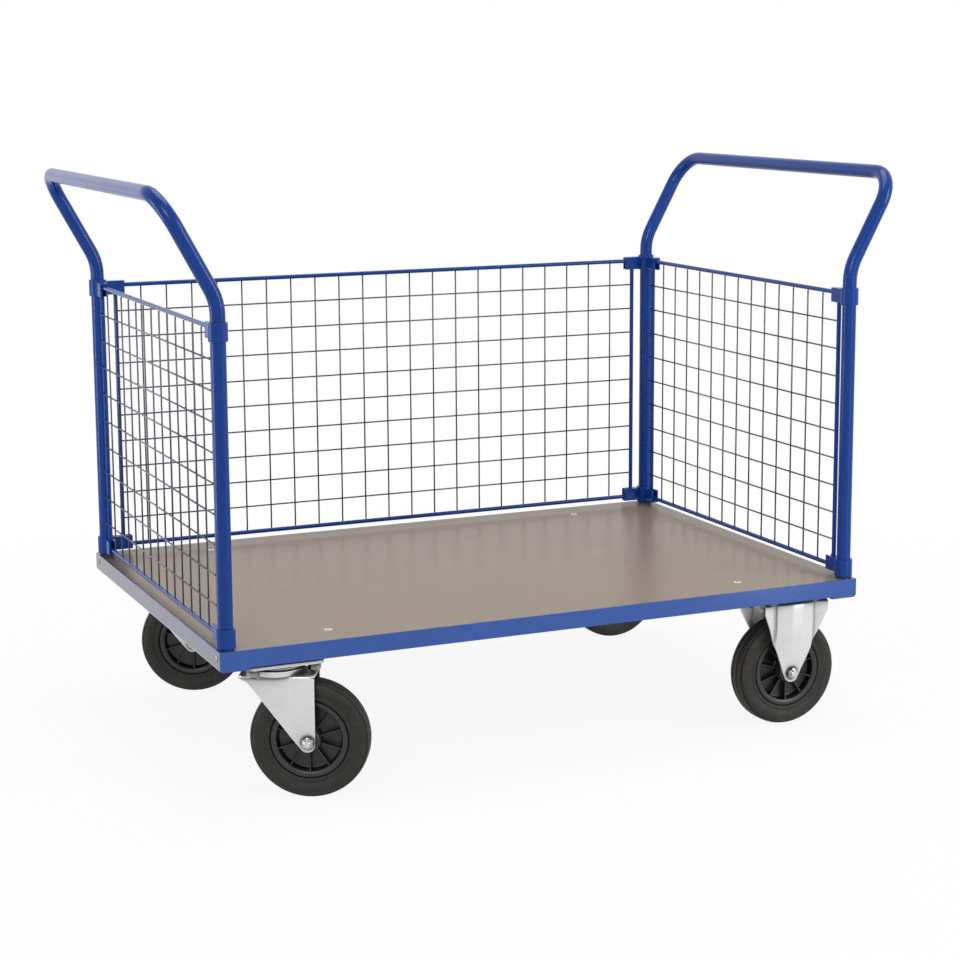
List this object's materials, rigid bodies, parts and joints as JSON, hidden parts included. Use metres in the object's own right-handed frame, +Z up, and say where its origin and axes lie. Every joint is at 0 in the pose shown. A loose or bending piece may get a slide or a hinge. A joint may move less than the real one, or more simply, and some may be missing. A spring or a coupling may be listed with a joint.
{
  "type": "three-sided platform trolley",
  "caption": "Platform trolley with a board deck on a steel frame, wire mesh on three sides, tube push handles at both ends, swivel castors at one end and fixed castors at the other.",
  "frame": {"origin": "on the floor, under the middle of the platform", "axes": "+X along the platform towards the fixed castors, +Y towards the rear mesh panel, +Z up"},
  "size_m": [1.3733, 0.825, 1.0105],
  "materials": {
    "deck_board": "film-faced plywood, satin brown grey",
    "frame_paint": "blue powder coat",
    "handle_paint": "blue powder coat",
    "panel_paint": "blue powder coat",
    "wire_paint": "dark blue grey powder coat",
    "clip_paint": "blue powder coat",
    "tyre_rubber": "matt dark grey rubber",
    "rim_plastic": "black moulded plastic",
    "castor_zinc": "bright zinc plated pressed steel",
    "axle_steel": "zinc plated",
    "deck_bolt_steel": "bright zinc plated",
    "castor_bolt_steel": "dull zinc plated",
    "screw_brass": "yellow passivated steel screw",
    "inner_steel": "plain turned steel"
  },
  "bodies": {
    "chassis": {"castor_bolts": "castor_bolt_steel", "castor_pads": "frame_paint", "deck_board": "deck_board", "deck_bolts": "deck_bolt_steel", "deck_nuts": "deck_bolt_steel", "front_left_castor_plate": "castor_zinc", "front_left_kingpin": "inner_steel", "front_left_kingpin_nut": "axle_steel", "front_right_axle_bolt": "axle_steel", "front_right_axle_nut": "axle_steel", "front_right_axle_sleeve": "inner_steel", "front_right_castor_bracket": "castor_zinc", "front_side_rail": "frame_paint", "left_cross_member": "frame_paint", "left_end_rail": "frame_paint", "left_panel_frame": "panel_paint", "left_panel_wires": "wire_paint", "left_push_handle": "handle_paint", "lower_clips": "clip_paint", "post_screws": "screw_brass", "rear_left_castor_plate": "castor_zinc", "rear_left_kingpin": "inner_steel", "rear_left_kingpin_nut": "axle_steel", "rear_panel_frame": "panel_paint", "rear_panel_wires": "wire_paint", "rear_right_axle_bolt": "axle_steel", "rear_right_axle_nut": "axle_steel", "rear_right_axle_sleeve": "inner_steel", "rear_right_castor_bracket": "castor_zinc", "rear_side_rail": "frame_paint", "right_cross_member": "frame_paint", "right_end_rail": "frame_paint", "right_panel_frame": "panel_paint", "right_panel_wires": "wire_paint", "right_push_handle": "handle_paint", "upper_clips": "clip_paint"},
    "front_left_swivel": {"front_left_fork": "castor_zinc", "front_left_swivel_bearing": "inner_steel", "front_left_axle_sleeve": "inner_steel", "front_left_axle_bolt": "axle_steel", "front_left_axle_nut": "axle_steel"},
    "rear_left_swivel": {"rear_left_fork": "castor_zinc", "rear_left_swivel_bearing": "inner_steel", "rear_left_axle_sleeve": "inner_steel", "rear_left_axle_bolt": "axle_steel", "rear_left_axle_nut": "axle_steel"},
    "front_left_wheel": {"front_left_rim": "rim_plastic", "front_left_tyre": "tyre_rubber"},
    "rear_left_wheel": {"rear_left_rim": "rim_plastic", "rear_left_tyre": "tyre_rubber"},
    "front_right_wheel": {"front_right_rim": "rim_plastic", "front_right_tyre": "tyre_rubber"},
    "rear_right_wheel": {"rear_right_rim": "rim_plastic", "rear_right_tyre": "tyre_rubber"}
  },
  "joints": [
    {"name": "front_left_castor_swivel", "type": "hinge", "parent": "chassis", "child": "front_left_swivel", "pos_m": [-0.484, -0.338, 0.222], "axis": [0, 0, 1], "continuous": true},
    {"name": "front_left_wheel_spin", "type": "hinge", "parent": "front_left_swivel", "child": "front_left_wheel", "pos_m": [-0.43632, -0.36335, 0.1], "axis": [-0.4695, -0.8829, 0], "continuous": true},
    {"name": "rear_left_castor_swivel", "type": "hinge", "parent": "chassis", "child": "rear_left_swivel", "pos_m": [-0.484, 0.338, 0.222], "axis": [0, 0, 1], "continuous": true},
    {"name": "rear_left_wheel_spin", "type": "hinge", "parent": "rear_left_swivel", "child": "rear_left_wheel", "pos_m": [-0.43359, 0.31865, 0.1], "axis": [-0.3584, -0.9336, 0], "continuous": true},
    {"name": "front_right_wheel_spin", "type": "hinge", "parent": "chassis", "child": "front_right_wheel", "pos_m": [0.484, -0.338, 0.1], "axis": [0, -1, 0], "continuous": true},
    {"name": "rear_right_wheel_spin", "type": "hinge", "parent": "chassis", "child": "rear_right_wheel", "pos_m": [0.484, 0.338, 0.1], "axis": [0, -1, 0], "continuous": true}
  ]
}
